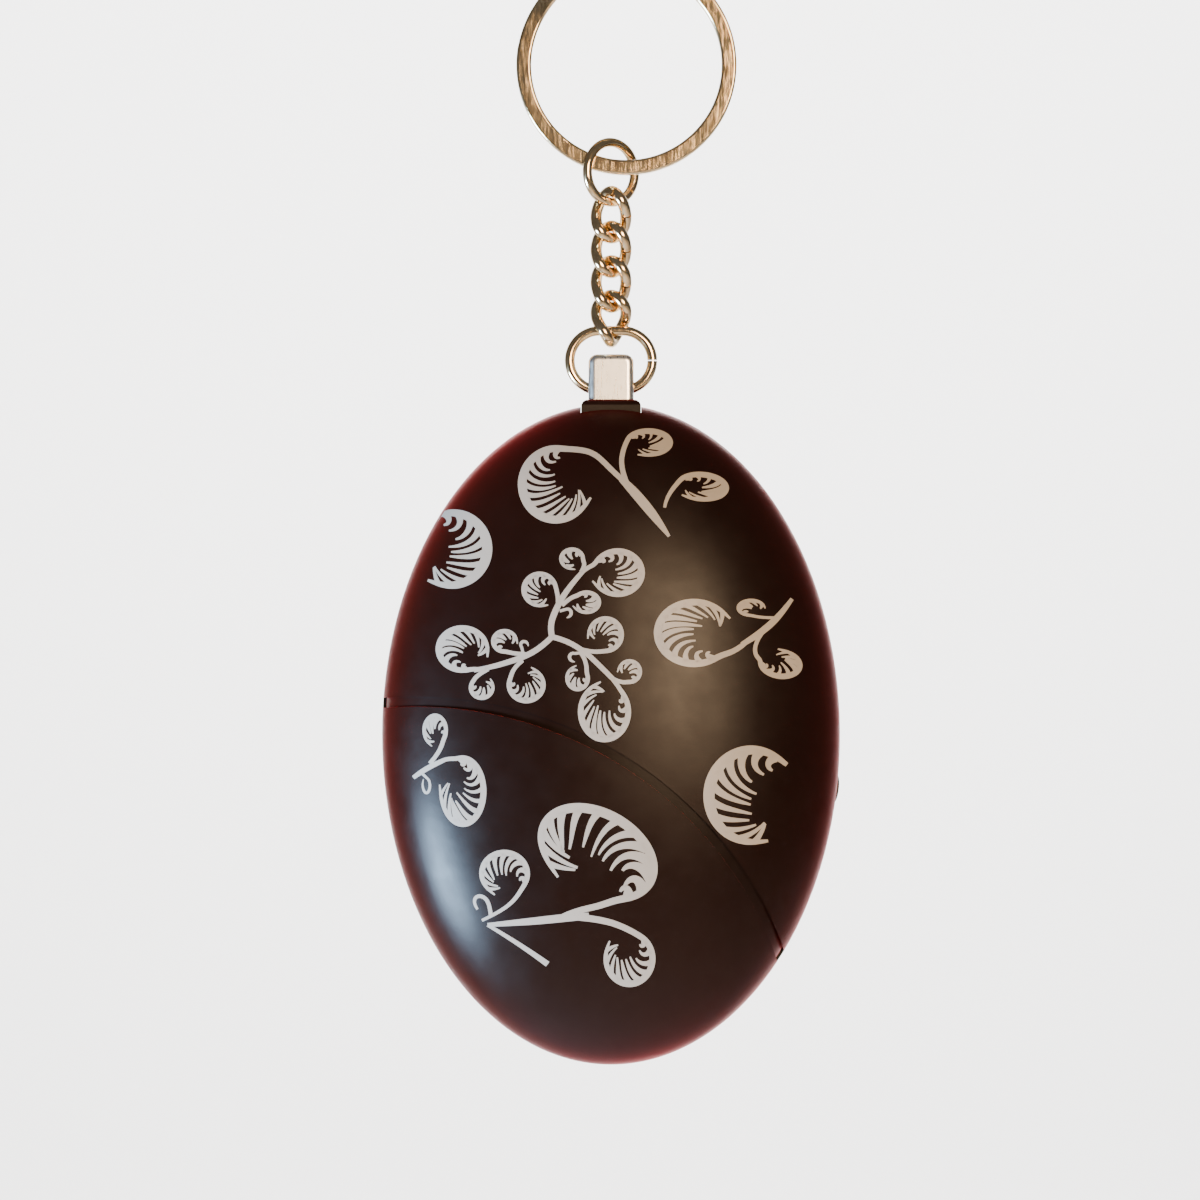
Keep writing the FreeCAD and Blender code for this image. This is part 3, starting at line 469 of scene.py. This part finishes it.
def finish_with(material, group, values, grain_depth, settings):
    """Links a group to the material's shader: colour, roughness and a bump of the given depth."""
    material.use_nodes = True
    tree = material.node_tree
    shader = tree.nodes["Principled BSDF"]
    look = add(tree, "ShaderNodeGroup", values, node_tree=group)
    bump = add(tree, "ShaderNodeBump", {"Height": look.outputs["Height"], "Strength": 1.0,
                                        "Distance": grain_depth})
    tree.links.new(look.outputs["Colour"], shader.inputs["Base Color"])
    tree.links.new(look.outputs["Roughness"], shader.inputs["Roughness"])
    tree.links.new(bump.outputs["Normal"], shader.inputs["Normal"])
    for key, value in settings.items():
        shader.inputs[key].default_value = value
    return material


def plastic(name, colour, blotch, smooth, rough, grain_size=3000.0, grain_depth=2e-6, **settings):
    values = {"Colour": colour, "Blotch Colour": blotch, "Smooth": smooth, "Rough": rough,
              "Grain Size": grain_size}
    return finish_with(bpy.data.materials.new(name), moulded, values, grain_depth, settings)


def metal(name, colour, tarnish, amount, smooth, rough, depth=5e-7, **settings):
    values = {"Colour": colour, "Tarnish": tarnish, "Amount": amount, "Smooth": smooth, "Rough": rough}
    return finish_with(bpy.data.materials.new(name), worn, values, depth, {"Metallic": 1.0, **settings})


# %% [markdown]
# ## The shell
#
# The shells, the cover and the pin's socket are moulded in one very dark brown, with a fine satin
# grain that widens the highlights. A darker base colour with weaker gloss keeps the brown deep under
# bright lamps. The thin red line round the rim is sheen: the shader adds it where the surface turns
# away, so it holds from every side and nothing has to be painted on.

# %% Shell finish
shell = plastic("Satin brown shell", rgb(0.0090, 0.0036, 0.0018), rgb(0.0065, 0.0026, 0.0014),
                0.29, 0.37, grain_size=5200.0, grain_depth=3e-6,
                **{"Specular IOR Level": 0.2, "Sheen Weight": 0.7, "Sheen Roughness": 0.4,
                   "Sheen Tint": rgb(0.90, 0.03, 0.03)})
print("made:", shell.name)

# %% [markdown]
# ## Rings, pin and the small outside parts
#
# The rings and links are steel wire with a thin pale gold plating that has dulled in places. The pin
# is bare polished metal, and the screws are zinc plated and duller. The lamp's lens is clear, so it
# is real glass-like plastic with transmission rather than a grey paint.

# %% Outside finishes
finishes = {
    "brown_shell": shell,
    "dark_button": plastic("Side button", rgb(0.030, 0.022, 0.018), rgb(0.022, 0.016, 0.013),
                           0.45, 0.55),
    "clear_lens": plastic("Clear lamp plastic", rgb(0.93, 0.94, 0.95), rgb(0.88, 0.90, 0.92), 0.06, 0.12,
                          grain_depth=5e-7, **{"Transmission Weight": 0.85, "IOR": 1.49}),
    "gold_plated_steel": metal("Pale gold plating", rgb(0.95, 0.72, 0.44), rgb(0.56, 0.32, 0.13),
                               0.45, 0.08, 0.22),
    "bright_pin": metal("Polished pin", rgb(0.98, 0.97, 0.95), rgb(0.86, 0.83, 0.78), 0.2, 0.26, 0.36),
    "plated_screw": metal("Zinc plated screw", rgb(0.55, 0.56, 0.58), rgb(0.35, 0.33, 0.30),
                          0.5, 0.22, 0.4),
}
print(len(finishes), "outside finishes")

# %% [markdown]
# ## Plastics, rubber and ceramic inside
#
# These show once the cover is off. They are the same moulded group with other values: nylon lets a
# little light in, rubber is coarse and dull, the board has a clear lacquer over green, and the
# siren's ceramic disc and the coil's ferrite core are matt and slightly speckled.

# %% Inside finishes that aren't metal
finishes.update({
    "white_nylon": plastic("Natural nylon", rgb(0.80, 0.78, 0.72), rgb(0.74, 0.71, 0.64), 0.4, 0.55,
                           **{"Subsurface Weight": 0.15, "Subsurface Scale": 0.0008}),
    "ivory_plastic": plastic("Ivory plunger", rgb(0.70, 0.65, 0.52), rgb(0.64, 0.58, 0.46), 0.35, 0.5),
    "black_plastic": plastic("Black moulding", rgb(0.022, 0.022, 0.024), rgb(0.030, 0.029, 0.030),
                             0.38, 0.55),
    "red_plastic": plastic("Red wire sheath", rgb(0.48, 0.02, 0.015), rgb(0.40, 0.018, 0.014),
                           0.3, 0.42),
    "black_rubber": plastic("Rubber washer", rgb(0.018, 0.018, 0.018), rgb(0.028, 0.027, 0.026),
                            0.7, 0.85, grain_size=2200.0, grain_depth=6e-6),
    "board_green": plastic("Lacquered board", rgb(0.010, 0.115, 0.045), rgb(0.008, 0.085, 0.035),
                           0.22, 0.34, **{"Coat Weight": 0.5, "Coat Roughness": 0.15}),
    "siren_ceramic": plastic("Silvered ceramic", rgb(0.72, 0.70, 0.66), rgb(0.62, 0.60, 0.56),
                             0.4, 0.6, grain_size=4200.0, grain_depth=3e-6),
    "ferrite": plastic("Ferrite", rgb(0.045, 0.045, 0.050), rgb(0.070, 0.068, 0.070), 0.5, 0.75,
                       grain_size=2600.0, grain_depth=5e-6),
})
print(len(finishes), "finishes so far")

# %% [markdown]
# ## Metals inside
#
# Brass behind the siren's ceramic, enamelled copper on the coil, aluminium on the capacitor and
# nickel on the cells and springs. Colour and tarnish tell them apart, the scratches are shared.

# %% Inside metals
finishes.update({
    "siren_brass": metal("Siren brass", rgb(0.78, 0.58, 0.25), rgb(0.45, 0.28, 0.12), 0.5, 0.2, 0.38),
    "copper_winding": metal("Enamelled copper", rgb(0.72, 0.30, 0.14), rgb(0.40, 0.14, 0.07),
                            0.4, 0.2, 0.35, depth=4e-6),
    "capacitor_can": metal("Capacitor can", rgb(0.72, 0.73, 0.75), rgb(0.55, 0.55, 0.56),
                           0.4, 0.22, 0.36),
    "spring_metal": metal("Nickel strip", rgb(0.74, 0.71, 0.64), rgb(0.50, 0.45, 0.36),
                          0.35, 0.18, 0.32),
    "cell_steel": metal("Cell can", rgb(0.74, 0.74, 0.75), rgb(0.55, 0.54, 0.52), 0.35, 0.16, 0.3),
})
print(len(finishes), "finishes in all")

# %% [markdown]
# ## Ink
#
# The ink is matt and off-white. It is a plain colour on the real print, so it only gets faint
# blotches and a finer grain than the shell's.

# %% Ink
ink = plastic("Off-white ink", rgb(0.52, 0.46, 0.40), rgb(0.44, 0.39, 0.34), 0.42, 0.58,
              grain_size=6500.0, grain_depth=2e-6)
for piece in prints:
    piece.data.materials.append(ink)
print("printed pieces:", len(prints))

# %% [markdown]
# ## Dressing the solids
#
# Every solid says which material slot it belongs to, and several share one. The finish is put into
# the slots the solid already has; its mesh and place are left alone.

# %% Dress the solids
slot_of = {part["node"]: part["material_slot"] for part in frame["record"]["subparts"]}
for name, node in frame["nodes"].items():
    for material_slot in node.material_slots:
        material_slot.material = finishes[slot_of[name]]
print("dressed", len(slot_of), "parts")

# %% [markdown]
# ## A pale sweep, soft light and the camera
#
# The egg hangs in front of a pale paper sweep: floor and wall in one sheet with a rounded cove, so
# that no corner shows behind it. The wall stands far enough back for a camera to pass behind the
# egg. A flat plane for each would leave a hard line where they meet.

# %% Sweep
SWEEP_FRONT, SWEEP_RISE = 1.2, 1.2                      # floor in front of the egg, wall above the cove
COVE_STEPS = 12


def make_sweep(low, back, width, bend):
    """A floor at height low, turning up into a wall at depth back: an edge, extruded along its run."""
    sheet = bmesh.new()
    left = sheet.verts.new((-width, -SWEEP_FRONT, low))
    right = sheet.verts.new((width, -SWEEP_FRONT, low))
    edge = [sheet.edges.new((left, right))]
    run = [Vector((0, back - bend + SWEEP_FRONT, 0))]
    for i in range(COVE_STEPS):
        a0, a1 = math.pi / 2 * i / COVE_STEPS, math.pi / 2 * (i + 1) / COVE_STEPS
        run.append(bend * Vector((0, math.sin(a1) - math.sin(a0), math.cos(a0) - math.cos(a1))))
    run.append(Vector((0, 0, SWEEP_RISE)))
    for step in run:
        grown = bmesh.ops.extrude_edge_only(sheet, edges=edge)["geom"]
        corners = [part for part in grown if isinstance(part, bmesh.types.BMVert)]
        bmesh.ops.translate(sheet, verts=corners, vec=step)
        edge = [part for part in grown if isinstance(part, bmesh.types.BMEdge)
                and abs(part.verts[0].co.x - part.verts[1].co.x) > width]
    bmesh.ops.recalc_face_normals(sheet, faces=sheet.faces)
    mesh = bpy.data.meshes.new("sweep")
    sheet.to_mesh(mesh)
    sheet.free()
    for face in mesh.polygons:
        face.use_smooth = True
    sweep = bpy.data.objects.new("sweep", mesh)
    bpy.context.scene.collection.objects.link(sweep)
    return sweep


sweep = make_sweep(low=egg_low.z - 0.40, back=1.1, width=1.8, bend=0.3)
sweep.data.materials.append(plastic("Pale paper", rgb(0.86, 0.85, 0.84), rgb(0.84, 0.83, 0.82),
                                    0.75, 0.85, grain_size=900.0, grain_depth=1e-5))
print("sweep faces:", len(sweep.data.polygons))

# %% [markdown]
# ## The room
#
# A dim, even room fills the shadows a little, and the lamps do the rest. A bright room would put a
# grey veil on the dark shell. Where the camera looks past the sweep, it still sees a pale colour:
# Light Path tells rays that come straight from the camera from those that light the parts.

# %% World
world = bpy.data.worlds.new("Pale room")
bpy.context.scene.world = world
world.use_nodes = True
room = world.node_tree
seen_directly = add(room, "ShaderNodeLightPath").outputs["Is Camera Ray"]
strength = spread(room, seen_directly, 0.0, 1.0, 0.11, 0.80)    # dim as a light, pale to look at
room.nodes["Background"].inputs["Color"].default_value = rgb(1.0, 0.98, 0.96)
room.links.new(strength, room.nodes["Background"].inputs["Strength"])
print("world:", world.name)

# %% [markdown]
# ## Three lamps
#
# A big warm lamp, a little above the egg on the right, gives the broad brown sheen and draws the
# seam as a dark line. A small cool one, low on the left, gives the long bluish highlight. The third
# lights only the paper: its light fans out too little to reach the egg. Small lamps would make hard
# spots; the sizes here are what keeps the sheen soft.

# %% Lamps
def soft_lamp(name, spot, target, size, power, colour, fan=180):
    """A square area light at spot, facing target. fan is the angle its light spreads over, in degrees."""
    lamp = bpy.data.lights.new(name, "AREA")
    lamp.size, lamp.energy, lamp.color, lamp.spread = size, power, colour, math.radians(fan)
    item = bpy.data.objects.new(name, lamp)
    item.location = spot
    item.rotation_euler = (Vector(target) - Vector(spot)).to_track_quat("-Z", "Y").to_euler()
    item.visible_camera = False
    bpy.context.scene.collection.objects.link(item)
    return item


soft_lamp("Warm key", (0.25, -0.72, 0.07), egg_centre, 0.34, 7.5, (1.0, 0.70, 0.42))
soft_lamp("Cool side", (-0.40, -0.15, -0.25), egg_centre, 0.13, 7.5, (0.48, 0.72, 1.0))
soft_lamp("Paper light", (0.0, 0.50, 0.60), (0.0, 1.10, 0.05), 0.9, 22.0, (1.0, 1.0, 1.0), fan=90)
print("lamps:", [lamp.name for lamp in bpy.data.lights])

# %% [markdown]
# ## The camera
#
# It looks straight at the front from 0.6 m, with a lens long enough to keep the egg's outline free
# of distortion. It sits a little above the egg's centre, so that the chain and the ring fit in.

# %% Camera
FRAME_WIDTH = 109 * MM                                  # what the picture takes in at the egg
DISTANCE = 0.60
ASIDE, ABOVE = -1.0 * MM, 12.2 * MM                     # the camera's place against the egg's centre
SENSOR = 36.0
camera = bpy.data.cameras.new("Camera")
camera.sensor_width = SENSOR
camera.lens = camera.sensor_width * DISTANCE / FRAME_WIDTH
camera.clip_start, camera.clip_end = 0.01, 20.0
viewer = bpy.data.objects.new("Camera", camera)
viewer.location = egg_centre + Vector((ASIDE, -DISTANCE, ABOVE))
viewer.rotation_euler = (math.pi / 2, 0, 0)
bpy.context.scene.collection.objects.link(viewer)
bpy.context.scene.camera = viewer
print("camera lens, mm:", round(camera.lens, 1))
